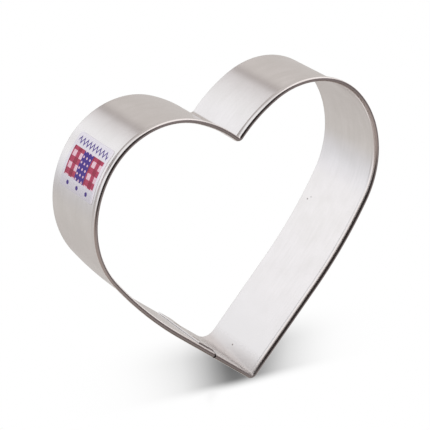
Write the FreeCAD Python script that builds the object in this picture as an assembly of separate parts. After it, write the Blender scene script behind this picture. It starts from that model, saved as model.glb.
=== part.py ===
import FreeCAD, Part
import math
import os

# Heart-shaped cookie cutter bent from one strip of tinned steel sheet, in millimetres and degrees.
# It lies as it is used: cutting edge down on z = 0, hemmed edge up, tip of the heart towards -Y.

# Strip
sheet = 0.3
strip_depth = 22.2

# Heart outline on the inside face of the strip: straight side, bowed side, shoulder, crown, flank and cleft.
# Each heading is the direction, from +X, in which the strip runs where that stretch of the right half begins.
side_heading = 43.6
shoulder_heading = 56.8
crown_heading = 127.5
flank_heading = 205.3
bow_radius = 112.0
shoulder_radius = 24.6
crown_radius = 19.4
crown_offset = 19.6
flank_radius = 36.4
cleft_hem_radius = 0.3

# Tip bend: folded sharp at the hem, easing to a rounder bend at the cutting edge
tip_hem_radius = 0.6
tip_edge_radius = 3.6
tip_land = 1.0

# Hem: the upper edge is rolled outwards and its foot pressed back towards the wall
hem_bend_radius = 0.3
hem_lean_angle = 18.0
hem_foot_gap = 0.04

# Seam on the left side: the hems butt, and a tail of plain sheet steps inwards and laps behind the wall
seam_run = 14.3
seam_gap = 0.15
joggle_run = 1.7
lap_length = 4.6
lap_gap = 0.05
hem_slit = 0.2

# Spot welds through the lap
weld_radius = 1.2
weld_dent = 0.04
weld_height_shares = (0.28, 0.68)
weld_overrun = 0.5

# Label of printed film, glued on the outside of the left lobe where the shoulder bend meets the crown bend
label_thickness = 0.07
label_glue_gap = 0.03
label_length = 13.8
label_shoulder_length = 9.2
label_edge_margin = 2.9
label_hem_margin = 1.25
label_corner_radius = 0.8

# Sizes that follow from those above
side_turn = math.radians(side_heading)
shoulder_turn = math.radians(shoulder_heading)
crown_turn = math.radians(crown_heading)
flank_turn = math.radians(flank_heading)
lean_turn = math.radians(hem_lean_angle)
bead_radius = hem_bend_radius + sheet
bead_height = strip_depth - bead_radius
flange_length = (hem_bend_radius * (1 + math.cos(lean_turn)) - hem_foot_gap) / math.sin(lean_turn)
hem_foot_height = bead_height - bead_radius * math.sin(lean_turn) - flange_length * math.cos(lean_turn)
under_hem_height = hem_foot_height - hem_slit
cleft_bend_radius = cleft_hem_radius + 2 * bead_radius
tip_reach = max(tip_edge_radius, tip_hem_radius) * math.tan(side_turn) + tip_land
lap_step = sheet + lap_gap
label_top = hem_foot_height - label_hem_margin

# The straight side starts at the tip, on the middle line, and is as long as the bends above it leave.
bow_width = bow_radius * (math.sin(shoulder_turn) - math.sin(side_turn))
shoulder_width = shoulder_radius * (math.sin(crown_turn) - math.sin(shoulder_turn))
crown_start = crown_offset + crown_radius * math.sin(crown_turn)
side_run = (crown_start - shoulder_width - bow_width) / math.cos(side_turn)

up = FreeCAD.Vector(0, 0, 1)
quarter_turn = 90


def ahead(heading):
    return FreeCAD.Vector(math.cos(heading), math.sin(heading), 0)


def outward(heading):
    return FreeCAD.Vector(math.sin(heading), -math.cos(heading), 0)


# A run is one stretch of the strip: straight where its radius is None, bent round the heart's inside where
# the radius is positive, and the other way where it is negative.
def run_from(start, heading, length, radius=None):
    return {"start": start, "heading": heading, "length": length, "radius": radius}


def bend_centre(run):
    return run["start"] - outward(run["heading"]) * run["radius"]


def place_along(run, distance):
    heading = run["heading"]
    if run["radius"] is None:
        return run["start"] + ahead(heading) * distance, heading
    turned = heading + distance / run["radius"]
    return bend_centre(run) + outward(turned) * run["radius"], turned


def run_after(run, length, radius=None):
    start, heading = place_along(run, run["length"])
    return run_from(start, heading, length, radius)


def total_length(runs):
    return sum(run["length"] for run in runs)


def runs_between(runs, begin, finish):
    found = []
    passed = 0
    for run in runs:
        first = max(begin - passed, 0)
        last = min(finish - passed, run["length"])
        if last > first:
            start, heading = place_along(run, first)
            found.append(run_from(start, heading, last - first, run["radius"]))
        passed += run["length"]
    return found


# The flank ends where it meets the cleft bend, whose centre lies on the heart's middle line.
def cleft_heading():
    flank_centre = crown_offset + (crown_radius - flank_radius) * math.sin(flank_turn)
    reach = flank_radius + cleft_bend_radius
    rise = math.sqrt(reach ** 2 - flank_centre ** 2)
    return math.pi + math.atan2(flank_centre, rise)


# The strip on the right half from the tip to the cleft, the cleft bend, and the left half back to the tip.
def heart_runs():
    cleft_turn = cleft_heading()
    bends = [
        (bow_radius, bow_radius * (shoulder_turn - side_turn)),
        (shoulder_radius, shoulder_radius * (crown_turn - shoulder_turn)),
        (crown_radius, crown_radius * (flank_turn - crown_turn)),
        (flank_radius, flank_radius * (cleft_turn - flank_turn)),
    ]
    right = [run_from(FreeCAD.Vector(0, 0, 0), side_turn, side_run)]
    for radius, length in bends:
        right.append(run_after(right[-1], length, radius))
    cleft = run_after(right[-1], cleft_bend_radius * 2 * (cleft_turn - math.pi), -cleft_bend_radius)
    left = [cleft]
    for radius, length in reversed(bends):
        left.append(run_after(left[-1], length, radius))
    left.append(run_after(left[-1], side_run))
    return right, cleft, left[1:]


def polygon_face(edges):
    return Part.Face(Part.Wire(edges))


def line(start, finish):
    return Part.LineSegment(start, finish).toShape()


def arc(start, middle, finish):
    return Part.Arc(start, middle, finish).toShape()


# Section of the strip across its run: x is the distance out from the inside face. The fold is round
# outside and creased inside.
def strip_section(base):
    centre = FreeCAD.Vector(bead_radius, 0, bead_height)
    lean = FreeCAD.Vector(-math.sin(lean_turn), 0, -math.cos(lean_turn))
    side = FreeCAD.Vector(math.cos(lean_turn), 0, -math.sin(lean_turn))
    inside_base = FreeCAD.Vector(0, 0, base)
    inside_top = FreeCAD.Vector(0, 0, bead_height)
    outside_base = FreeCAD.Vector(sheet, 0, base)
    outside_top = FreeCAD.Vector(sheet, 0, bead_height)
    flange_out = centre + side * bead_radius
    flange_in = centre + side * hem_bend_radius
    foot_out = flange_out + lean * flange_length
    foot_in = flange_in + lean * flange_length
    crease = centre + up * hem_bend_radius
    return polygon_face([
        line(inside_base, inside_top),
        arc(inside_top, centre + up * bead_radius, flange_out),
        line(flange_out, foot_out),
        line(foot_out, foot_in),
        line(foot_in, flange_in),
        line(flange_in, crease),
        line(crease, outside_top),
        line(outside_top, outside_base),
        line(outside_base, inside_base),
    ])


def flat_section(inner, outer, base, top):
    corners = [
        FreeCAD.Vector(inner, 0, base),
        FreeCAD.Vector(inner, 0, top),
        FreeCAD.Vector(outer, 0, top),
        FreeCAD.Vector(outer, 0, base),
    ]
    return polygon_face([line(corners[i - 1], corners[i]) for i in range(len(corners))])


def carried_along(section, runs):
    pieces = []
    for run in runs:
        face = section.copy()
        face.rotate(FreeCAD.Vector(0, 0, 0), up, math.degrees(run["heading"]) - quarter_turn)
        face.translate(run["start"])
        if run["radius"] is None:
            pieces.append(face.extrude(ahead(run["heading"]) * run["length"]))
        else:
            turn = math.degrees(run["length"] / run["radius"])
            pieces.append(face.revolve(bend_centre(run), up, turn))
    return pieces


def joined(pieces):
    if len(pieces) == 1:
        return pieces[0]
    return pieces[0].multiFuse(pieces[1:]).removeSplitter()


# The tip seen from above, at one height: both sides and the bend between them.
def tip_wire(radius, height):
    rise = up * height
    left_way = FreeCAD.Vector(-math.cos(side_turn), math.sin(side_turn), 0)
    right_way = ahead(side_turn)
    left_out = FreeCAD.Vector(-math.sin(side_turn), -math.cos(side_turn), 0) * sheet
    right_out = outward(side_turn) * sheet
    tangent = radius * math.tan(side_turn)
    middle = FreeCAD.Vector(0, radius / math.cos(side_turn) - radius, 0) + rise
    middle_out = middle - FreeCAD.Vector(0, sheet, 0)
    left_end = left_way * tip_reach + rise
    left_bend = left_way * tangent + rise
    right_bend = right_way * tangent + rise
    right_end = right_way * tip_reach + rise
    return Part.Wire([
        line(left_end, left_bend),
        arc(left_bend, middle, right_bend),
        line(right_bend, right_end),
        line(right_end, right_end + right_out),
        line(right_end + right_out, right_bend + right_out),
        arc(right_bend + right_out, middle_out, left_bend + left_out),
        line(left_bend + left_out, left_end + left_out),
        line(left_end + left_out, left_end),
    ])


def tip_pieces():
    edge_wire = tip_wire(tip_edge_radius, 0)
    hem_wire = tip_wire(tip_hem_radius, under_hem_height)
    wall = Part.makeLoft([edge_wire, hem_wire], True, True)
    tangent = tip_hem_radius * math.tan(side_turn)
    start = FreeCAD.Vector(-math.cos(side_turn), math.sin(side_turn), 0) * tip_reach
    to_bend = run_from(start, -side_turn, tip_reach - tangent)
    bend = run_after(to_bend, tip_hem_radius * 2 * side_turn, tip_hem_radius)
    from_bend = run_after(bend, tip_reach - tangent)
    return [wall] + carried_along(strip_section(under_hem_height), [to_bend, bend, from_bend])


# Step of the lapped tail, drawn from its end at the wall: two equal arcs, tangent to the wall at both ends.
def joggle_edges(start, along, out):
    step_turn = 2 * math.atan2(lap_step, joggle_run)
    step_radius = joggle_run / (2 * math.sin(step_turn))
    half_turn = step_turn / 2
    lead = along * (step_radius * math.sin(half_turn)) - out * (step_radius * (1 - math.cos(half_turn)))
    half_way = start + along * (joggle_run / 2) - out * (lap_step / 2)
    finish = start + along * joggle_run - out * lap_step
    return arc(start, start + lead, half_way), arc(half_way, finish - lead, finish)


def lapped_tail(joggle_start, heading):
    along = ahead(heading) * -1
    out = outward(heading)
    inside = joggle_start
    outside = joggle_start + out * sheet
    stepped = along * joggle_run - out * lap_step
    end = along * lap_length
    plan = polygon_face([
        *joggle_edges(inside, along, out),
        line(inside + stepped, inside + stepped + end),
        line(inside + stepped + end, outside + stepped + end),
        line(outside + stepped + end, outside + stepped),
        *reversed(joggle_edges(outside, along, out)),
        line(outside, inside),
    ])
    return plan.extrude(up * under_hem_height)


def weld_places(left):
    length = total_length(left)
    middle = length - seam_run - lap_length / 2
    spot = runs_between(left, middle, length)[0]
    for share in weld_height_shares:
        yield spot["start"] + up * (strip_depth * share), outward(spot["heading"])


def weld_nugget(place, out):
    back = place - out * lap_step
    front = place + out * sheet
    nugget = Part.makeCylinder(weld_radius, lap_step + sheet, back, out)
    dent_radius = (weld_radius ** 2 + weld_dent ** 2) / (2 * weld_dent)
    front_dent = Part.makeSphere(dent_radius, front + out * (dent_radius - weld_dent))
    back_dent = Part.makeSphere(dent_radius, back - out * (dent_radius - weld_dent))
    return nugget.cut(front_dent).cut(back_dent)


def weld_hole(place, out):
    start = place - out * (lap_step + weld_overrun)
    return Part.makeCylinder(weld_radius, lap_step + sheet + 2 * weld_overrun, start, out)


def cutter_band(right, cleft, left):
    length = total_length(left)
    seam = length - seam_run
    full = strip_section(0)
    pieces = tip_pieces()
    pieces += carried_along(full, runs_between(right, tip_reach, total_length(right)))
    pieces += carried_along(full, [cleft])
    pieces += carried_along(full, runs_between(left, 0, seam - seam_gap / 2))
    pieces += carried_along(full, runs_between(left, seam + joggle_run, length - tip_reach))
    tongue = runs_between(left, seam + seam_gap / 2, seam + joggle_run)
    pieces += carried_along(strip_section(hem_foot_height), tongue)
    joggle = runs_between(left, seam + joggle_run, length)[0]
    pieces.append(lapped_tail(joggle["start"], joggle["heading"]))
    band = joined(pieces)
    for place, out in weld_places(left):
        band = band.cut(weld_hole(place, out))
    return band


def spot_welds(left):
    return Part.makeCompound([weld_nugget(place, out) for place, out in weld_places(left)])


def label(left):
    flank, crown = left[:2]
    finish = flank["length"] + crown["length"] + label_shoulder_length
    back = sheet + label_glue_gap
    section = flat_section(back, back + label_thickness, label_edge_margin, label_top)
    film = joined(carried_along(section, runs_between(left, finish - label_length, finish)))
    corners = [edge for edge in film.Edges if edge.Length < 2 * label_thickness]
    return film.makeFillet(label_corner_radius, corners)


right_side, cleft_bend, left_side = heart_runs()
nodes = {
    "cutter_band": cutter_band(right_side, cleft_bend, left_side),
    "spot_welds": spot_welds(left_side),
    "label": label(left_side),
}
box = nodes["cutter_band"].optimalBoundingBox()
to_origin = FreeCAD.Vector(-box.Center.x, -box.Center.y, 0)

os.makedirs("parts", exist_ok=True)
for name, shape in nodes.items():
    shape.translate(to_origin)
    shape.exportStep("parts/" + name + ".step")
    print(name, "solids", len(shape.Solids), "valid", shape.isValid(), "volume", round(shape.Volume, 3))
print("size", round(box.XLength, 2), round(box.YLength, 2), round(box.ZLength, 2), "shift", to_origin)
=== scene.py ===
import math
import bmesh
import bpy
from mathutils import Matrix, Vector


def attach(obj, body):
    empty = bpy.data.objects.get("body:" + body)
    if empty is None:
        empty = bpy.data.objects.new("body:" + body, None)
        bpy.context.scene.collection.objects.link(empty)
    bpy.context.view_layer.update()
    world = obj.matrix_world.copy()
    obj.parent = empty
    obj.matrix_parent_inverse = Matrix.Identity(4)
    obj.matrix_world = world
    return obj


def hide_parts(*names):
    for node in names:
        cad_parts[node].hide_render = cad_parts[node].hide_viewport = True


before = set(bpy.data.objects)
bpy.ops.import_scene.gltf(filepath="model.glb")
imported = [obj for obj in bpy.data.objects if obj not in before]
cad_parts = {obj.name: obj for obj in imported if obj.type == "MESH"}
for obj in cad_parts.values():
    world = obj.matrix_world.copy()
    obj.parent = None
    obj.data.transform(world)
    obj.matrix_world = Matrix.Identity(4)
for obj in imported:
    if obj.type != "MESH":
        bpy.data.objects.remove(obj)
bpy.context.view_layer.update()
scene = bpy.context.scene
mm = 0.001
tiny = 1e-6  # mm, under which two places count as one
sharpEdge = 28  # degrees between two faces, above which their edge isn't shaded smooth
print("frame loaded:", ", ".join(sorted(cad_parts)))


def toLinear(hexColour):
    channels = [int(hexColour[i:i + 2], 16) / 255 for i in (1, 3, 5)]
    return [c / 12.92 if c <= 0.04045 else ((c + 0.055) / 1.055) ** 2.4 for c in channels] + [1]


# settings: socket name or number, node property, or a ramp's stops as (position, colour)
# links: socket name or number, and the output that feeds it, or a node for its first output
def addNode(tree, kind, settings=None, links=None):
    node = tree.nodes.new(kind)
    for name, value in (settings or {}).items():
        if name == "stops":
            stops = node.color_ramp.elements
            while len(stops) < len(value):
                stops.new(0.5)  # moved to its place below
            for stop, (position, colour) in zip(stops, value):
                stop.position = position
                stop.color = colour
        elif isinstance(name, int) or name in node.inputs:
            node.inputs[name].default_value = value
        else:
            setattr(node, name, value)
    for name, source in (links or {}).items():
        output = source.outputs[0] if isinstance(source, bpy.types.Node) else source
        tree.links.new(output, node.inputs[name])
    return node


def startMaterial(name):
    material = bpy.data.materials.new(name)
    material.use_nodes = True
    material.node_tree.nodes.clear()
    return material, material.node_tree


# Faces between rings of points that follow each other.
def sweep(mesh, rings):
    for one, two in zip(rings, rings[1:]):
        for i in range(len(one)):
            j = (i + 1) % len(one)
            mesh.faces.new((one[i], one[j], two[j], two[i]))


def toMesh(name, mesh):
    bmesh.ops.recalc_face_normals(mesh, faces=mesh.faces)
    data = bpy.data.meshes.new(name)
    mesh.to_mesh(data)
    mesh.free()
    return data


def addPiece(name, data, material, node):
    data.shade_smooth()
    data.set_sharp_from_angle(angle=math.radians(sharpEdge))
    data.materials.clear()
    data.materials.append(material)
    piece = bpy.data.objects.new(name, data)
    scene.collection.objects.link(piece)
    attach(piece, "root")
    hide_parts(node)
    print(name + ":", len(data.polygons), "faces")


# Band: the strip's sizes in mm and degrees, as it was bent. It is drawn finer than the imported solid, so that
# the metal mirrors without facets.
band = {
    "sheet": 0.3, "depth": 22.2,
    "sideHeading": 43.6, "shoulderHeading": 56.8, "crownHeading": 127.5, "flankHeading": 205.3,
    "bowRadius": 112.0, "shoulderRadius": 24.6, "crownRadius": 19.4, "crownOffset": 19.6,
    "flankRadius": 36.4, "cleftRadius": 1.5,
    "tipHemRadius": 0.6, "tipEdgeRadius": 3.6, "tipLand": 1.0,
    "hemRadius": 0.6, "hemLean": 18.0, "hemFootGap": 0.04, "hemSlit": 0.2, "hemEase": 1.2, "hemSwell": 0.05,
    "seamRun": 14.3, "seamGap": 0.15, "joggleRun": 1.7, "lapLength": 4.6, "lapGap": 0.05,
    "longestStep": 0.7, "widestTurn": 2.0,  # between sections along the strip
    "rowStep": 2.0, "swellSteps": 7, "beadSteps": 16, "flangeSteps": 10,  # round the section
    "tipSteps": 64, "foldSteps": 40, "joggleSteps": 16,
    "lapSteps": 3,  # an odd count keeps sections off the welds' axis
    "tipStraightShare": 0.2,  # of the tip's sections, on each straight run beside the bend
}
sideTurn = math.radians(band["sideHeading"])


def ahead(heading):
    return Vector((math.cos(heading), math.sin(heading), 0))


def outward(heading):
    return Vector((math.sin(heading), -math.cos(heading), 0))


# Point and heading after a length of a run, whose radius is None where it is straight.
def follow(point, heading, radius, length):
    if not radius:
        return point + ahead(heading) * length, heading
    turned = heading + length / radius
    return point - outward(heading) * radius + outward(turned) * radius, turned


# The strip's runs from the tip round to the tip again, each (radius, length).
def heartRuns():
    turns = [math.radians(band[name + "Heading"]) for name in ("side", "shoulder", "crown", "flank")]
    bowWidth = band["bowRadius"] * (math.sin(turns[1]) - math.sin(turns[0]))
    shoulderWidth = band["shoulderRadius"] * (math.sin(turns[2]) - math.sin(turns[1]))
    crownStart = band["crownOffset"] + band["crownRadius"] * math.sin(turns[2])
    sideRun = (crownStart - shoulderWidth - bowWidth) / math.cos(turns[0])
    flankCentre = band["crownOffset"] + (band["crownRadius"] - band["flankRadius"]) * math.sin(turns[3])
    reach = band["flankRadius"] + band["cleftRadius"]
    cleftTurn = math.pi + math.atan2(flankCentre, math.sqrt(reach ** 2 - flankCentre ** 2))
    half = [(None, sideRun)]
    for name, first, last in zip(("bow", "shoulder", "crown", "flank"), turns, turns[1:] + [cleftTurn]):
        half.append((band[name + "Radius"], band[name + "Radius"] * (last - first)))
    cleft = (-band["cleftRadius"], band["cleftRadius"] * 2 * (cleftTurn - math.pi))
    return half + [cleft] + half[::-1]


stripRuns = heartRuns()
stripLength = sum(length for radius, length in stripRuns)
crownReach = sum(length for radius, length in stripRuns[:3])  # along the side, the bow and the shoulder


# The heart's middle lies on the origin: half way from the tip bend's lowest place to the crown's highest.
def tipPlace():
    point, heading = Vector((0, 0, 0)), sideTurn
    for radius, length in stripRuns[:3]:
        point, heading = follow(point, heading, radius, length)
    crownCentre = point - outward(heading) * band["crownRadius"]
    crownTop = crownCentre.y + band["crownRadius"]
    tipRise = band["tipHemRadius"] / math.cos(sideTurn) - band["tipHemRadius"]
    return Vector((0, -(crownTop + tipRise) / 2, 0))


tipStart = tipPlace()


# Places along the strip's inside face between two distances from the tip: (point, heading, distance).
def placesBetween(begin, finish):
    found = []
    point, heading, passed = tipStart, sideTurn, 0
    for radius, length in stripRuns:
        first, last = max(begin - passed, 0), min(finish - passed, length)
        if last > first:
            count = math.ceil((last - first) / band["longestStep"])
            if radius:
                turn = math.degrees((last - first) / abs(radius))
                count = max(count, math.ceil(turn / band["widestTurn"]))
            for i in range(count + 1):
                along = first + (last - first) * i / count
                if not found or passed + along - found[-1][2] > tiny:
                    found.append((*follow(point, heading, radius, along), passed + along))
        point, heading = follow(point, heading, radius, length)
        passed += length
    return found


def placeAt(distance):
    at, heading, distance = placesBetween(distance, stripLength)[0]
    return at, heading


# The strip's section: (distance out from the inside face, height), up the inside, over the hem and down the
# outside. Also which points are the plain wall's and the hem's, and the height of the slit that parts them.
def hemmedSection():
    sheet, radius, swell = band["sheet"], band["hemRadius"], band["hemSwell"]
    lean = math.radians(band["hemLean"])
    bend = radius - sheet
    beadHeight = band["depth"] - radius
    flange = (bend * (1 + math.cos(lean)) - band["hemFootGap"]) / math.sin(lean)
    foot = beadHeight - radius * math.sin(lean) - flange * math.cos(lean)
    slit = foot - band["hemSlit"]
    count = round(slit / band["rowStep"])
    rows = [slit * i / count for i in range(count + 1)]
    # up the inside face, which swells a little and eases over to the top of the bead
    points = [(0, up) for up in rows + [foot]]
    easeStart = band["depth"] - band["hemEase"]
    swellStart = (foot + easeStart) / 2
    for i in range(band["swellSteps"] + 1):
        share = i / band["swellSteps"]
        points.append((-swell * share ** 2 * (3 - 2 * share), swellStart + (easeStart - swellStart) * share))
    quarter = [math.pi / 2 * i / band["beadSteps"] for i in range(1, band["beadSteps"] + 1)]
    for turn in quarter:
        out = (radius + swell) * (1 - math.cos(turn)) - swell
        points.append((out, easeStart + band["hemEase"] * math.sin(turn)))
    # down the outside of the bead, and along the flange that bows back to the wall
    points += [(radius + radius * math.sin(turn), beadHeight + radius * math.cos(turn)) for turn in quarter]
    centre = Vector((radius, beadHeight))
    down = Vector((-math.sin(lean), -math.cos(lean)))
    side = Vector((math.cos(lean), -math.sin(lean)))
    end = centre + side * radius + down * flange
    flangeTurn = 2 * math.atan2(2 * radius - end.x, beadHeight - end.y)
    flangeBow = (beadHeight - end.y) / math.sin(flangeTurn)
    for i in range(1, band["flangeSteps"] + 1):
        turn = flangeTurn * i / band["flangeSteps"]
        out = 2 * radius - flangeBow * (1 - math.cos(turn))
        points.append((out, beadHeight - flangeBow * math.sin(turn)))
    # back up the inside of the roll, and down the outside face
    points += [tuple(centre + side * bend + down * run) for run in (flange, 0)]
    points += [(radius, beadHeight + bend)]
    points += [(sheet, up) for up in reversed(rows + [foot, (foot + beadHeight) / 2, beadHeight])]
    wall = [i for i, (out, up) in enumerate(points) if up <= slit + tiny]
    hem = [i for i in range(len(points)) if i not in wall]
    return points, wall, hem, slit


section, wallPoints, hemPoints, slitHeight = hemmedSection()

# mm along each side from the tip, within which the bend at the hem and at the cutting edge both end
tipReach = max(band["tipEdgeRadius"], band["tipHemRadius"]) * math.tan(sideTurn) + band["tipLand"]


# Half of the tip bend at unit length, from the fold to a share of its run: (across, up, heading). The sheet
# bends most at the fold and eases to straight.
def tipEase(share):
    across, up, steps = 0, 0, band["foldSteps"]

    def eased(part):
        return sideTurn * (3 * part - part ** 3) / 2

    for i in range(steps):
        heading = eased(share * (i + 0.5) / steps)
        across += math.cos(heading) * share / steps
        up += math.sin(heading) * share / steps
    return across, up, eased(share)


# A station puts a point of the section, out and up, at its place on the strip.
def stationAt(point, heading):
    return lambda out, up: point + outward(heading) * out + Vector((0, 0, up))


# The tip bend is sharp at the hem and eases to a rounder bend at the cutting edge. The share of it goes
# from -1 to 1.
def tipStation(share):
    side = -1 if share < 0 else 1
    bent = 1 - band["tipStraightShare"]
    across, rise, heading = tipEase(min(abs(share) / bent, 1))
    beyond = max(abs(share) - bent, 0) / band["tipStraightShare"]
    endAcross, endRise = tipEase(1)[:2]
    cornerDrop = endAcross * math.tan(sideTurn) - endRise

    def place(out, up):
        radius = band["tipEdgeRadius"]
        radius += (band["tipHemRadius"] - radius) * min(up / slitHeight, 1)
        run = radius * (1 / math.cos(sideTurn) - 1) / cornerDrop
        straight = (tipReach - run * endAcross / math.cos(sideTurn)) * beyond
        at = Vector((side * run * across, run * (rise + cornerDrop), up))
        at += Vector((side * math.cos(sideTurn), math.sin(sideTurn), 0)) * straight
        return tipStart + at + outward(side * heading) * out
    return place


# Stations from the seam past the tip round to the seam again, then those of the hem's tongue, which butts
# there, and of the tail, which steps inwards by a joggle and laps behind the wall.
def bandStations():
    seam = stripLength - band["seamRun"]
    joggle = band["joggleRun"]
    ends = ((seam + joggle, stripLength - tipReach), (tipReach, seam - band["seamGap"] / 2),
            (seam + band["seamGap"] / 2, seam + joggle))
    left, around, tongue = [[stationAt(*place[:2]) for place in placesBetween(*pair)] for pair in ends]
    tip = [tipStation(2 * i / band["tipSteps"] - 1) for i in range(1, band["tipSteps"])]

    step = band["sheet"] + band["lapGap"]
    radius = joggle / (2 * math.sin(2 * math.atan2(step, joggle)))
    tail = []
    for i in range(1, band["joggleSteps"] + 1):
        along = joggle * i / band["joggleSteps"]
        dip = radius - math.sqrt(radius ** 2 - min(along, joggle - along) ** 2)
        tail.append((along, dip if along <= joggle / 2 else step - dip))
    for i in range(1, band["lapSteps"] + 1):
        tail.append((joggle + band["lapLength"] * i / band["lapSteps"], step))
    at, heading = placeAt(seam + joggle)
    back = [stationAt(at - ahead(heading) * along - outward(heading) * dip, heading) for along, dip in tail]
    return left + tip + around, tongue[-2::-1], back


def makeBand():
    stations, tongue, tail = bandStations()
    mesh = bmesh.new()

    def ring(station, chosen):
        return [mesh.verts.new(station(*section[i]) * mm) for i in chosen]

    main = [ring(station, range(len(section))) for station in stations]
    tongueRings = [[main[0][i] for i in hemPoints]] + [ring(station, hemPoints) for station in tongue]
    tailRings = [[main[0][i] for i in wallPoints]] + [ring(station, wallPoints) for station in tail]
    for rings in (main, tongueRings, tailRings):
        sweep(mesh, rings)
        mesh.faces.new(rings[-1])  # cut end
    inner, outer = wallPoints[len(wallPoints) // 2 - 1], wallPoints[len(wallPoints) // 2]
    mesh.faces.new([main[0][i] for i in (inner, inner + 1, outer - 1, outer)])  # end of the slit
    return toMesh("cutterBand", mesh)


# Rolled tinplate: steel strip rolled bright and coated with tin. The eye gets a soft satin mirror with faint
# streaks along the rolling and a slow cloudiness in the tin. It is rougher where the tip bend stretched it,
# and its colour is painted darker towards the tip as a painted shade. It is bare where it was cut: grey on the
# sheared edge;
# where the hem's ends butt, the cut ends and the hem beside them are painted dark as the shade in the joint.
rolledTinplate = {
    # the third colour is a painted shade near the tip bend, not a colour of the tin
    "light": "#e3dfde", "dull": "#dcd8d6", "bent": "#dad7d6",
    # the butt colour is a painted shade in the hem's joint, laid over the bare cut ends
    "sheared": "#8d8883", "butt": "#4a4341", "mark": "#6f6763",
    "smooth": 0.2, "rough": 0.235, "bentRough": 0.3,  # the last is added at the tip bend
    "streak": (12.0, 0.6),  # mm along and across the rolling, drawn coarser than the real 0.05 mm to show
    "cloud": 5.0, "grain": 0.4, "relief": 0.0015,  # mm
    "dullToLight": (0.7, 1.3), "smoothToRough": (0.3, 0.7),  # of the streaks and clouds, and of the streaks
    "grainShare": 0.3, "bump": 0.5,
    "tipShadeReach": (4.0, 22.0),  # mm from the tip bend, over which the painted shade fades away
    "roughReach": (5.5, 0.5),  # mm from the tip bend, over which it turns rough
    "shearedEdge": 0.05, "buttLine": 0.28,  # mm up the wall, and to each side of the joint
    "marks": [(3.2, 9.3, 0.28), (45.6, 2.6, 0.26), (46.5, 3.5, 0.2)],  # mm from the tip, height, radius
}


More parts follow.
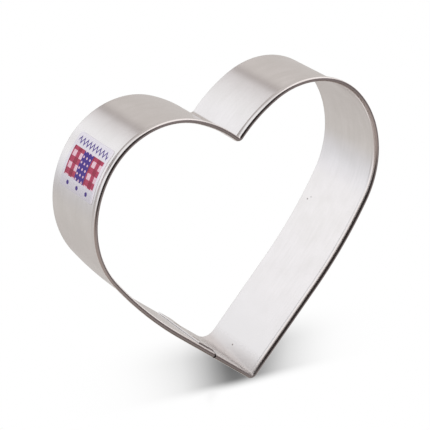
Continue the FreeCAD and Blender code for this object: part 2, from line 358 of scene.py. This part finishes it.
def makeRolledTinplate():
    finish = rolledTinplate
    material, tree = startMaterial("rolled tinplate")
    coords = addNode(tree, "ShaderNodeTexCoord").outputs["Object"]
    split = addNode(tree, "ShaderNodeSeparateXYZ", links={0: coords})
    along, across = [1 / (size * mm) for size in finish["streak"]]
    rolled = addNode(tree, "ShaderNodeVectorMath", {"operation": "MULTIPLY", 1: (along, along, across)},
                     {0: coords})
    streaks = addNode(tree, "ShaderNodeTexNoise", {"Scale": 1.0, "Detail": 4.0, "Roughness": 0.6},
                      {"Vector": rolled})
    clouds = addNode(tree, "ShaderNodeTexNoise", {"Scale": 1 / (finish["cloud"] * mm), "Detail": 3.0},
                     {"Vector": coords})
    grain = addNode(tree, "ShaderNodeTexNoise", {"Scale": 1 / (finish["grain"] * mm), "Detail": 2.0},
                    {"Vector": coords})

    low, high = finish["dullToLight"]
    both = addNode(tree, "ShaderNodeMath", {"operation": "ADD"}, {0: streaks, 1: clouds})
    spread = addNode(tree, "ShaderNodeMapRange", {"From Min": low, "From Max": high}, {"Value": both})
    tin = addNode(tree, "ShaderNodeMix",
                  {"data_type": "RGBA", 6: toLinear(finish["dull"]), 7: toLinear(finish["light"])},
                  {0: spread})
    flat = addNode(tree, "ShaderNodeVectorMath", {"operation": "MULTIPLY", 1: (1, 1, 0)}, {0: coords})
    fromBend = addNode(tree, "ShaderNodeVectorMath", {"operation": "DISTANCE", 1: tipStart * mm}, {0: flat})
    # Painted shade: the colour is darkened towards the tip bend
    near, far = finish["tipShadeReach"]
    bright = addNode(tree, "ShaderNodeMapRange", {"From Min": near * mm, "From Max": far * mm},
                     {"Value": fromBend.outputs["Value"]})
    bent = addNode(tree, "ShaderNodeMix", {"data_type": "RGBA", 6: toLinear(finish["bent"])},
                   {0: bright, 7: tin.outputs[2]})

    layers = []
    for fromTip, height, radius in finish["marks"]:
        middle = stationAt(*placeAt(fromTip))(0, height) * mm
        off = addNode(tree, "ShaderNodeVectorMath", {"operation": "DISTANCE", 1: middle}, {0: coords})
        spot = addNode(tree, "ShaderNodeMapRange", {"From Min": radius * mm, "From Max": radius * mm / 2},
                       {"Value": off.outputs["Value"]})
        layers.append((spot, "mark"))
    sheared = addNode(tree, "ShaderNodeMath", {"operation": "LESS_THAN", 1: finish["shearedEdge"] * mm},
                      {0: split.outputs["Z"]})
    # Painted shade in the hem's butt joint: the cut ends and the hem just to each side are painted dark
    leftSide = Vector((-math.cos(sideTurn), math.sin(sideTurn), 0))
    seam = (tipStart.dot(leftSide) + band["seamRun"]) * mm
    run = addNode(tree, "ShaderNodeVectorMath", {"operation": "DOT_PRODUCT", 1: leftSide}, {0: coords})
    butt = addNode(tree, "ShaderNodeMath", {"operation": "COMPARE", 1: seam, 2: finish["buttLine"] * mm},
                   {0: run.outputs["Value"]})
    onLeft = addNode(tree, "ShaderNodeMath", {"operation": "LESS_THAN", 1: 0.0}, {0: split.outputs["X"]})
    onHem = addNode(tree, "ShaderNodeMath", {"operation": "GREATER_THAN", 1: slitHeight * mm},
                    {0: split.outputs["Z"]})
    for limit in (onLeft, onHem):
        butt = addNode(tree, "ShaderNodeMath", {"operation": "MULTIPLY"}, {0: butt, 1: limit})
    layers += [(sheared, "sheared"), (butt, "butt")]
    colour = bent.outputs[2]
    for mask, name in layers:
        layer = addNode(tree, "ShaderNodeMix", {"data_type": "RGBA", 7: toLinear(finish[name])},
                        {0: mask, 6: colour})
        colour = layer.outputs[2]

    low, high = finish["smoothToRough"]
    dullness = addNode(tree, "ShaderNodeMapRange", {
        "From Min": low, "From Max": high, "To Min": finish["smooth"], "To Max": finish["rough"],
    }, {"Value": streaks})
    far, near = finish["roughReach"]
    stretched = addNode(tree, "ShaderNodeMapRange", {
        "From Min": far * mm, "From Max": near * mm, "To Max": finish["bentRough"],
    }, {"Value": fromBend.outputs["Value"]})
    roughness = addNode(tree, "ShaderNodeMath", {"operation": "ADD"}, {0: dullness, 1: stretched})
    relief = addNode(tree, "ShaderNodeMath", {"operation": "MULTIPLY_ADD", 1: finish["grainShare"]},
                     {0: grain, 2: streaks})
    bump = addNode(tree, "ShaderNodeBump", {"Strength": finish["bump"], "Distance": finish["relief"] * mm},
                   {"Height": relief})
    shader = addNode(tree, "ShaderNodeBsdfPrincipled", {"Metallic": 1.0},
                     {"Base Color": colour, "Roughness": roughness, "Normal": bump})
    addNode(tree, "ShaderNodeOutputMaterial", links={"Surface": shader})
    return material


# Welds: two nuggets fused through the lap, each face dented by the electrode. Sizes in mm.
weld = {
    "radius": 1.2, "heightShares": (0.28, 0.68), "dent": 0.04, "drillDepth": 3.0, "segments": 48, "rings": 5,
}


# The welds' axes: (point on the strip's inside face, way out), in mm.
def weldAxes():
    at, heading = placeAt(stripLength - band["seamRun"] - band["lapLength"] / 2)
    return [(at + Vector((0, 0, band["depth"] * share)), outward(heading)) for share in weld["heightShares"]]


# Round holes in both lapped sheets, which the nuggets fill.
def drillWelds(data):
    drill = bmesh.new()
    radius = weld["radius"] * mm
    for at, out in weldAxes():
        place = Matrix.Translation(at * mm) @ out.to_track_quat("Z", "Y").to_matrix().to_4x4()
        bmesh.ops.create_cone(drill, cap_ends=True, segments=weld["segments"], radius1=radius,
                              radius2=radius, depth=weld["drillDepth"] * mm, matrix=place)
    drillPiece = bpy.data.objects.new("weldDrill", toMesh("weldDrill", drill))
    whole = bpy.data.objects.new("undrilledBand", data)
    for piece in (drillPiece, whole):
        scene.collection.objects.link(piece)
    cut = whole.modifiers.new("weldHoles", "BOOLEAN")
    cut.operation = "DIFFERENCE"
    cut.solver = "EXACT"
    cut.object = drillPiece
    drilled = bpy.data.meshes.new_from_object(whole.evaluated_get(bpy.context.evaluated_depsgraph_get()))
    for piece in (drillPiece, whole):
        bpy.data.objects.remove(piece)
    return drilled


addPiece("cutterBand", drillWelds(makeBand()), makeRolledTinplate(), "cutter_band")


def makeWelds():
    radius, dent = weld["radius"], weld["dent"]
    dentRadius = (radius ** 2 + dent ** 2) / (2 * dent)
    front, back = band["sheet"], -band["sheet"] - band["lapGap"]
    radii = [radius * i / weld["rings"] for i in range(1, weld["rings"] + 1)]
    sinks = [dent - dentRadius + math.sqrt(dentRadius ** 2 - r ** 2) for r in radii]
    profile = [(r, front - sink) for r, sink in zip(radii, sinks)]
    profile += [(r, back + sink) for r, sink in zip(reversed(radii), reversed(sinks))]
    turns = [2 * math.pi * i / weld["segments"] for i in range(weld["segments"])]
    mesh = bmesh.new()
    for at, out in weldAxes():
        side = Vector((0, 0, 1)).cross(out)
        spokes = [side * math.cos(turn) + Vector((0, 0, math.sin(turn))) for turn in turns]
        rings = []
        for r, rise in profile:
            rings.append([mesh.verts.new((at + out * rise + spoke * r) * mm) for spoke in spokes])
        sweep(mesh, rings)
        for ring, rise in ((rings[0], front - dent), (rings[-1], back + dent)):
            middle = mesh.verts.new((at + out * rise) * mm)
            for i in range(len(ring)):
                mesh.faces.new((ring[i - 1], ring[i], middle))
    return toMesh("weldNuggets", mesh)


# Fused weld metal: steel and tin melted between the electrodes, then left as it cooled. It looks dull and
# faintly pitted, with a straw and violet heat tint towards the rim.
fusedWeldMetal = {
    "tint": [(0.45, "#bdb8b3"), (0.72, "#b09a7d"), (0.95, "#7f7780")],  # share of the way out, colour
    "pits": 0.25, "relief": 0.01,  # mm
    "wander": 0.3, "overrun": 0.2,  # mm by which the pits shift the tint, and it runs past the rim
    "rough": (0.34, 0.52), "bump": 0.6,
}


def makeFusedWeldMetal():
    finish = fusedWeldMetal
    material, tree = startMaterial("fused weld metal")
    coords = addNode(tree, "ShaderNodeTexCoord").outputs["Object"]
    pits = addNode(tree, "ShaderNodeTexNoise", {"Scale": 1 / (finish["pits"] * mm), "Detail": 3.0},
                   {"Vector": coords})
    offs = []
    for at, out in weldAxes():
        off = addNode(tree, "ShaderNodeVectorMath", {"operation": "DISTANCE", 1: at * mm}, {0: coords})
        offs.append(off.outputs["Value"])
    nearest = addNode(tree, "ShaderNodeMath", {"operation": "MINIMUM"}, {0: offs[0], 1: offs[1]})
    wander = addNode(tree, "ShaderNodeMath", {"operation": "MULTIPLY_ADD", 1: finish["wander"] * mm},
                     {0: pits, 2: nearest})
    share = addNode(tree, "ShaderNodeMapRange", {"From Max": (weld["radius"] + finish["overrun"]) * mm},
                    {"Value": wander})
    tint = addNode(tree, "ShaderNodeValToRGB",
                   {"stops": [(place, toLinear(colour)) for place, colour in finish["tint"]]}, {0: share})
    least, most = finish["rough"]
    roughness = addNode(tree, "ShaderNodeMapRange", {"To Min": least, "To Max": most}, {"Value": pits})
    bump = addNode(tree, "ShaderNodeBump", {"Strength": finish["bump"], "Distance": finish["relief"] * mm},
                   {"Height": pits})
    shader = addNode(tree, "ShaderNodeBsdfPrincipled", {"Metallic": 1.0},
                     {"Base Color": tint, "Roughness": roughness, "Normal": bump})
    addNode(tree, "ShaderNodeOutputMaterial", links={"Surface": shader})
    return material


addPiece("weldNuggets", makeWelds(), makeFusedWeldMetal(), "spot_welds")

# Label: one printed film round the left lobe, where its crown meets its shoulder. Sizes in mm.
label = {
    "length": 13.8, "shoulderLength": 9.2, "low": 2.9, "hemMargin": 1.25, "corner": 0.8,
    "glue": 0.03, "film": 0.07,
    "endRim": 0.04, "topRim": 0.3,  # by which the face is drawn in at the ends and at the upper edge
    "rows": 26, "cornerSteps": 6,
}
labelHeight = slitHeight + band["hemSlit"] - label["hemMargin"] - label["low"]


def makeLabel():
    corner, steps = label["corner"], label["cornerSteps"]
    finish = stripLength - crownReach + label["shoulderLength"]
    begin = finish - label["length"]
    middle = (begin + finish) / 2
    stops = [begin + corner * (1 - math.cos(math.pi / 2 * i / steps)) for i in range(steps)]
    stops += [place[2] for place in placesBetween(begin + corner, finish - corner)]
    stops += [begin + finish - stop for stop in reversed(stops[:steps])]
    mesh = bmesh.new()
    plan = mesh.loops.layers.uv.new("labelPlan")
    spots = {}
    sheets = []
    glued = (label["glue"], 0, 0)
    printed = (label["glue"] + label["film"], label["endRim"], label["topRim"])
    for lift, endRim, topRim in (glued, printed):
        sheet = []
        for stop in stops:
            fromCorner = max(corner - min(stop - begin, finish - stop), 0)
            inset = corner - math.sqrt(corner ** 2 - fromCorner ** 2)
            along = middle + (stop - middle) * (1 - 2 * endRim / label["length"])
            station = stationAt(*placeAt(along))
            row = []
            for j in range(label["rows"] + 1):
                rise = inset + (labelHeight - 2 * inset) * j / label["rows"]
                rise *= 1 - topRim / labelHeight
                vert = mesh.verts.new(station(band["sheet"] + lift, label["low"] + rise) * mm)
                spots[vert] = ((along - begin) / label["length"], rise / labelHeight)
                row.append(vert)
            sheet.append(row)
        sheets.append(sheet)
        for one, two in zip(sheet, sheet[1:]):
            for j in range(label["rows"]):
                mesh.faces.new((one[j], one[j + 1], two[j + 1], two[j]))
    rims = []
    for sheet in sheets:
        upper, lower = [[row[end] for row in sheet[1:-1]] for end in (-1, 0)]
        rims.append(sheet[0] + upper + sheet[-1][::-1] + lower[::-1])
    sweep(mesh, rims)
    for face in mesh.faces:
        for loop in face.loops:
            loop[plan].uv = spots[loop.vert]
    return toMesh("printedLabel", mesh)


# Printed film: clear polypropylene printed on its back in red and violet. The bare film takes the tin's
# sheen with a lilac cast, and the inks lie dull under it. The red also gives two paler tints. Sizes in mm.
printedFilm = {
    "film": "#d6d1d7", "red": "#850a34", "rose": "#9f2a4c", "pale": "#d2b0bd", "violet": "#341078",
    "fieldAlong": (7.15, 3.65), "fieldUp": (7.8, 6.8), "ribbonUp": (7.8, 2.1),  # middle and half size
    "check": 1.5, "dotSpacing": 1.4, "dotRadius": 0.3,
    "zigzagAlong": 1.9, "zigzagSlope": 2.0,
    "zigzagSwing": 0.75, "zigzagStroke": 0.34,  # to each side
    "spotAlong": 12.3, "spotRadius": 0.55, "spotHalfSpacing": 2.2,
    "filmMirror": 0.85, "filmRough": 0.24, "inkRough": 0.42, "ior": 1.49,
}


def makePrintedFilm():
    finish = printedFilm
    material, tree = startMaterial("printed polypropylene film")
    plan = addNode(tree, "ShaderNodeUVMap", {"uv_map": "labelPlan"})
    sized = addNode(tree, "ShaderNodeVectorMath",
                    {"operation": "MULTIPLY", 1: (label["length"], labelHeight, 0)}, {0: plan})
    split = addNode(tree, "ShaderNodeSeparateXYZ", links={0: sized})
    along, up = split.outputs["X"], split.outputs["Y"]

    within = []
    for value, name in ((along, "fieldAlong"), (up, "fieldUp"), (up, "ribbonUp")):
        middle, half = finish[name]
        inside = addNode(tree, "ShaderNodeMath", {"operation": "COMPARE", 1: middle, 2: half}, {0: value})
        within.append(inside)
    field = addNode(tree, "ShaderNodeMath", {"operation": "MULTIPLY"}, {0: within[0], 1: within[1]})
    ribbon = addNode(tree, "ShaderNodeMath", {"operation": "MULTIPLY"}, {0: field, 1: within[2]})
    stripes = []
    for value in (along, up):
        turns = addNode(tree, "ShaderNodeMath", {"operation": "MULTIPLY", 1: math.pi / finish["check"]},
                        {0: value})
        wave = addNode(tree, "ShaderNodeMath", {"operation": "SINE"}, {0: turns})
        stripe = addNode(tree, "ShaderNodeMath", {"operation": "GREATER_THAN", 1: 0.0}, {0: wave})
        stripes.append(addNode(tree, "ShaderNodeMath", {"operation": "MULTIPLY"}, {0: field, 1: stripe}))
    either = addNode(tree, "ShaderNodeMath", {"operation": "MAXIMUM"}, {0: stripes[0], 1: stripes[1]})
    crossing = addNode(tree, "ShaderNodeMath", {"operation": "MULTIPLY"}, {0: stripes[0], 1: stripes[1]})

    spacing = finish["dotSpacing"]
    cells = addNode(tree, "ShaderNodeVectorMath", {"operation": "SCALE", "Scale": 1 / spacing}, {0: sized})
    cell = addNode(tree, "ShaderNodeVectorMath", {"operation": "FRACTION"}, {0: cells})
    offDot = addNode(tree, "ShaderNodeVectorMath", {"operation": "DISTANCE", 1: (0.5, 0.5, 0)}, {0: cell})
    dot = addNode(tree, "ShaderNodeMath", {"operation": "LESS_THAN", 1: finish["dotRadius"] / spacing},
                  {0: offDot.outputs["Value"]})
    dots = addNode(tree, "ShaderNodeMath", {"operation": "MULTIPLY"}, {0: ribbon, 1: dot})

    swing = addNode(tree, "ShaderNodeMath", {"operation": "PINGPONG", 1: finish["zigzagSwing"]}, {0: up})
    lowest = finish["zigzagAlong"] - finish["zigzagSwing"]
    line = addNode(tree, "ShaderNodeMath",
                   {"operation": "MULTIPLY_ADD", 1: finish["zigzagSlope"], 2: lowest}, {0: swing})
    near = addNode(tree, "ShaderNodeMath", {"operation": "COMPARE", 2: finish["zigzagStroke"]},
                   {0: along, 1: line})
    zigzag = addNode(tree, "ShaderNodeMath", {"operation": "MULTIPLY"}, {0: near, 1: within[1]})

    shifted = addNode(tree, "ShaderNodeMath", {"operation": "SUBTRACT", 1: finish["fieldUp"][0]}, {0: up})
    offUp = addNode(tree, "ShaderNodeMath", {"operation": "PINGPONG", 1: finish["spotHalfSpacing"]},
                    {0: shifted})
    offAlong = addNode(tree, "ShaderNodeMath", {"operation": "SUBTRACT", 1: finish["spotAlong"]}, {0: along})
    off = addNode(tree, "ShaderNodeCombineXYZ", links={0: offAlong, 1: offUp})
    span = addNode(tree, "ShaderNodeVectorMath", {"operation": "LENGTH"}, {0: off})
    spot = addNode(tree, "ShaderNodeMath", {"operation": "LESS_THAN", 1: finish["spotRadius"]},
                   {0: span.outputs["Value"]})
    spots = addNode(tree, "ShaderNodeMath", {"operation": "MULTIPLY"}, {0: spot, 1: within[1]})

    colour, inked = None, field
    prints = ((field, "pale"), (either, "rose"), (crossing, "red"), (ribbon, "violet"), (dots, "pale"),
              (zigzag, "violet"), (spots, "violet"))
    for mask, ink in prints:
        layer = addNode(tree, "ShaderNodeMix",
                        {"data_type": "RGBA", 6: toLinear(finish["film"]), 7: toLinear(finish[ink])},
                        {0: mask})
        if colour:
            tree.links.new(colour, layer.inputs[6])
            inked = addNode(tree, "ShaderNodeMath", {"operation": "MAXIMUM"}, {0: inked, 1: mask})
        colour = layer.outputs[2]
    mirror = addNode(tree, "ShaderNodeMapRange", {"To Min": finish["filmMirror"], "To Max": 0.0},
                     {"Value": inked})
    roughness = addNode(tree, "ShaderNodeMapRange",
                        {"To Min": finish["filmRough"], "To Max": finish["inkRough"]}, {"Value": inked})
    shader = addNode(tree, "ShaderNodeBsdfPrincipled", {"IOR": finish["ior"]},
                     {"Base Color": colour, "Metallic": mirror, "Roughness": roughness})
    addNode(tree, "ShaderNodeOutputMaterial", links={"Surface": shader})
    return material


addPiece("printedLabel", makeLabel(), makePrintedFilm(), "label")

# Camera at the photograph's angle: it looks down on the lying cutter from behind its left lobe. In mm.
cameraSet = {
    "place": (-233.378, 227.064, 395.769), "aim": (-1.654, 4.272, 11.1),
    "upward": (0.28104, 0.89415, -0.34858),
    "lens": 169.06, "sensor": 36.0, "nearest": 10.0,
}


def addCamera():
    data = bpy.data.cameras.new("camera")
    data.lens = cameraSet["lens"]
    data.sensor_width = cameraSet["sensor"]
    data.clip_start = cameraSet["nearest"] * mm
    camera = bpy.data.objects.new("camera", data)
    scene.collection.objects.link(camera)
    place = Vector(cameraSet["place"]) * mm
    back = (place - Vector(cameraSet["aim"]) * mm).normalized()
    right = Vector(cameraSet["upward"]).cross(back).normalized()
    camera.matrix_world = Matrix((right, back.cross(right), back)).transposed().to_4x4()
    camera.location = place
    scene.camera = camera


addCamera()
print("camera set")

# Studio: white to the camera and a plain even level for matt surfaces. The metal mirrors a round of pale
# greys that is whitest on the camera's side, a low white band, and soft round cards, each over the last.
studio = {
    "level": 0.6, "mirrored": 1.25,  # strength on matt surfaces, and in what the metal mirrors
    "round": [  # degrees from +X, colour
        (-180, "#e5e8ed"), (-168, "#d8dade"), (-150, "#cac8c5"), (-120, "#c4c1be"), (-85, "#bcb8b5"),
        (-30, "#bfbbb8"), (66, "#c9c5c2"), (76, "#9d9694"), (85, "#d6d4d5"), (110, "#f2f4f6"),
        (128, "#f9fbff"), (148, "#fbfdff"), (164, "#f2f4f9"), (180, "#e5e8ed"),
    ],
    "lowBand": [(-43, 0), (-37, 1), (-19, 1), (-13, 0)],  # degrees up, share of the band's colour
    "lowColour": "#f6f2f1",
    "cards": [  # degrees from +X, degrees up, half width, soft edge, colour
        (0, -90, 16, 8, "#aaa5a3"),  # straight below
        (140, -67, 7, 3, "#5c5654"),  # low on the camera's side
        (-160, -64, 8, 6, "#b4b0af"),  # low past the left side
        (0, 90, 85, 8, "#7a7171"),  # all of the upper half
        (-105, 55, 20, 8, "#9a908c"),  # high past the tip
        (60, -5, 38, 6, "#fffaf9"),  # a softbox past the right lobe
        (-140, 4, 40, 7, "#9b8f89"),  # past the left side
        (-80, 0, 28, 8, "#696159"),  # past the tip
        (-8, 13, 26, 8, "#615856"),  # past the right side
        (134, 48, 48, 8, "#221a18"),  # the dark round the camera
    ],
}


def towards(azimuth, elevation):
    a, e = math.radians(azimuth), math.radians(elevation)
    return (math.cos(e) * math.cos(a), math.cos(e) * math.sin(a), math.sin(e))


def makeStudio():
    world = bpy.data.worlds.new("studio")
    world.use_nodes = True
    tree = world.node_tree
    tree.nodes.clear()
    way = addNode(tree, "ShaderNodeTexCoord").outputs["Generated"]
    split = addNode(tree, "ShaderNodeSeparateXYZ", links={0: way})
    azimuth = addNode(tree, "ShaderNodeMath", {"operation": "ARCTAN2"},
                      {0: split.outputs["Y"], 1: split.outputs["X"]})
    share = addNode(tree, "ShaderNodeMapRange", {"From Min": -math.pi, "From Max": math.pi},
                    {"Value": azimuth})
    stops = [((degrees + 180) / 360, toLinear(colour)) for degrees, colour in studio["round"]]
    greys = addNode(tree, "ShaderNodeValToRGB", {"stops": stops}, {0: share})
    lifted = addNode(tree, "ShaderNodeMath", {"operation": "ADD", 1: 1.0}, {0: split.outputs["Z"]})
    stops = [(1 + math.sin(math.radians(rise)), (part, part, part, 1)) for rise, part in studio["lowBand"]]
    low = addNode(tree, "ShaderNodeValToRGB", {"stops": stops}, {0: lifted})
    layers = [(low, studio["lowColour"])]
    for degrees, rise, width, edge, colour in studio["cards"]:
        facing = addNode(tree, "ShaderNodeVectorMath",
                         {"operation": "DOT_PRODUCT", 1: towards(degrees, rise)}, {0: way})
        card = addNode(tree, "ShaderNodeMapRange", {
            "interpolation_type": "SMOOTHSTEP",
            "From Min": math.cos(math.radians(width + edge)),
            "From Max": math.cos(math.radians(width - edge)),
        }, {"Value": facing.outputs["Value"]})
        layers.append((card, colour))
    seen = greys.outputs["Color"]
    for mask, colour in layers:
        layer = addNode(tree, "ShaderNodeMix", {"data_type": "RGBA", 7: toLinear(colour)},
                        {0: mask, 6: seen})
        seen = layer.outputs[2]
    mirrored = addNode(tree, "ShaderNodeBackground", {"Strength": studio["mirrored"]}, {"Color": seen})
    plain = addNode(tree, "ShaderNodeBackground", {"Color": (1, 1, 1, 1), "Strength": studio["level"]})
    white = addNode(tree, "ShaderNodeBackground", {"Color": (1, 1, 1, 1), "Strength": 1.0})
    path = addNode(tree, "ShaderNodeLightPath")
    lit = addNode(tree, "ShaderNodeMixShader",
                  links={0: path.outputs["Is Glossy Ray"], 1: plain, 2: mirrored})
    shown = addNode(tree, "ShaderNodeMixShader",
                    links={0: path.outputs["Is Camera Ray"], 1: lit, 2: white})
    addNode(tree, "ShaderNodeOutputWorld", links={"Surface": shown})
    scene.world = world


makeStudio()
print("studio set")

# Floor: matt white paper. It is plain white to the camera, except in a pool of shadow before the tip and in a
# strip beside the right wall, where the lamp's shadow shows; in the pool the paper's colour is also painted
# darker, a painted shadow deepest close to the tip. Places in mm.
floorPaper = {
    "half": 3000.0, "paper": 0.95, "pooled": 0.44,  # white away from the pool, and painted darker in it as shadow
    "pool": [  # along X, share of the shadow
        (-56, 0.0), (-28, 0.0), (-8, 0.28), (4, 1.0), (12, 1.0), (26, 0.5), (42, 0.0), (70, 0.0),
    ],
    "poolNear": (-54.5, -50.7, 0.142),  # Y at X = 0, from clear to full, and its fall along X
    "poolFar": (-33.0, -43.0, 0.15),
    "wallEdge": 0.5,  # outside the wall, over which the shadow comes in
    "strip": [("outside", 22.0, 10.0), ("X", -5.0, 6.2), ("Y", 4.0, -18.0)],  # from clear to full
    "deepest": [  # middle, distance from clear to full, share of light left
        ((12.5, -47.8, 0.0), 14.0, 3.0, 0.58), ((6.0, -43.5, 0.0), 9.0, 2.0, 0.74),
    ],
}


def makeFloor():
    finish = floorPaper
    material, tree = startMaterial("white paper")
    coords = addNode(tree, "ShaderNodeTexCoord").outputs["Object"]
    sized = addNode(tree, "ShaderNodeVectorMath", {"operation": "SCALE", "Scale": 1 / mm}, {0: coords})
    split = addNode(tree, "ShaderNodeSeparateXYZ", links={0: sized})
    x, y = split.outputs["X"], split.outputs["Y"]

    begin, end = finish["pool"][0][0], finish["pool"][-1][0]
    share = addNode(tree, "ShaderNodeMapRange", {"From Min": begin, "From Max": end}, {"Value": x})
    stops = [((place - begin) / (end - begin), (part, part, part, 1)) for place, part in finish["pool"]]
    pool = addNode(tree, "ShaderNodeValToRGB", {"stops": stops}, {0: share})
    pool.color_ramp.interpolation = "B_SPLINE"
    aside = addNode(tree, "ShaderNodeMath", {"operation": "ABSOLUTE"}, {0: x})
    wall = addNode(tree, "ShaderNodeMath",
                   {"operation": "MULTIPLY_ADD", 1: math.tan(sideTurn), 2: tipStart.y}, {0: aside})
    before = addNode(tree, "ShaderNodeMath", {"operation": "SUBTRACT"}, {0: wall, 1: y})
    outside = addNode(tree, "ShaderNodeMapRange",
                      {"interpolation_type": "SMOOTHSTEP", "From Max": finish["wallEdge"]},
                      {"Value": before})
    pooled = addNode(tree, "ShaderNodeMath", {"operation": "MULTIPLY"}, {0: pool, 1: outside})
    for name in ("poolNear", "poolFar"):
        clear, full, slope = finish[name]
        line = addNode(tree, "ShaderNodeMath", {"operation": "MULTIPLY_ADD", 1: slope}, {0: x, 2: y})
        limit = addNode(tree, "ShaderNodeMapRange",
                        {"interpolation_type": "SMOOTHSTEP", "From Min": clear, "From Max": full},
                        {"Value": line})
        pooled = addNode(tree, "ShaderNodeMath", {"operation": "MULTIPLY"}, {0: pooled, 1: limit})
    strip = outside
    for name, clear, full in finish["strip"]:
        value = before if name == "outside" else split.outputs[name]
        limit = addNode(tree, "ShaderNodeMapRange",
                        {"interpolation_type": "SMOOTHSTEP", "From Min": clear, "From Max": full},
                        {"Value": value})
        strip = addNode(tree, "ShaderNodeMath", {"operation": "MULTIPLY"}, {0: strip, 1: limit})
    shaded = addNode(tree, "ShaderNodeMath", {"operation": "MAXIMUM"}, {0: pooled, 1: strip})

    # Painted shadow: the paper's colour darkens in the pool, and most round the deepest places
    shade = addNode(tree, "ShaderNodeMapRange", {"To Min": finish["paper"], "To Max": finish["pooled"]},
                    {"Value": pooled})
    for place, clear, full, left in finish["deepest"]:
        off = addNode(tree, "ShaderNodeVectorMath", {"operation": "DISTANCE", 1: place}, {0: sized})
        deep = addNode(tree, "ShaderNodeMapRange", {
            "interpolation_type": "SMOOTHSTEP", "From Min": clear, "From Max": full,
            "To Min": 1.0, "To Max": left,
        }, {"Value": off.outputs["Value"]})
        shade = addNode(tree, "ShaderNodeMath", {"operation": "MULTIPLY"}, {0: shade, 1: deep})
    paper = addNode(tree, "ShaderNodeBsdfDiffuse", links={"Color": shade})
    white = addNode(tree, "ShaderNodeEmission", {"Color": (1, 1, 1, 1), "Strength": 1.0})
    path = addNode(tree, "ShaderNodeLightPath")
    blank = addNode(tree, "ShaderNodeMath", {"operation": "SUBTRACT"},
                    {0: path.outputs["Is Camera Ray"], 1: shaded})
    shown = addNode(tree, "ShaderNodeMixShader", links={0: blank, 1: paper, 2: white})
    addNode(tree, "ShaderNodeOutputMaterial", links={"Surface": shown})

    half = finish["half"] * mm
    mesh = bpy.data.meshes.new("floor")
    corners = [(-half, -half, 0), (half, -half, 0), (half, half, 0), (-half, half, 0)]
    mesh.from_pydata(corners, [], [range(len(corners))])
    mesh.materials.append(material)
    floor = bpy.data.objects.new("floor", mesh)
    scene.collection.objects.link(floor)
    floor.visible_glossy = False  # the metal mirrors the studio instead


makeFloor()
print("floor set")

# Lamp: a soft one past the cleft, which lays the shadow before the tip. The metal doesn't mirror it.
lampSet = {"azimuth": 108, "elevation": 40, "away": 600.0, "size": 300.0, "watts": 2.2}  # degrees and mm


def addLamp():
    data = bpy.data.lights.new("softLamp", "AREA")
    data.shape = "DISK"
    data.size = lampSet["size"] * mm
    data.energy = lampSet["watts"]
    lamp = bpy.data.objects.new("softLamp", data)
    scene.collection.objects.link(lamp)
    way = Vector(towards(lampSet["azimuth"], lampSet["elevation"]))
    turned = way.to_track_quat("Z", "Y").to_matrix().to_4x4()
    lamp.matrix_world = Matrix.Translation(way * lampSet["away"] * mm) @ turned
    lamp.visible_glossy = False
    lamp.visible_camera = False


addLamp()
print("lamp set")

scene.view_settings.view_transform = "Standard"
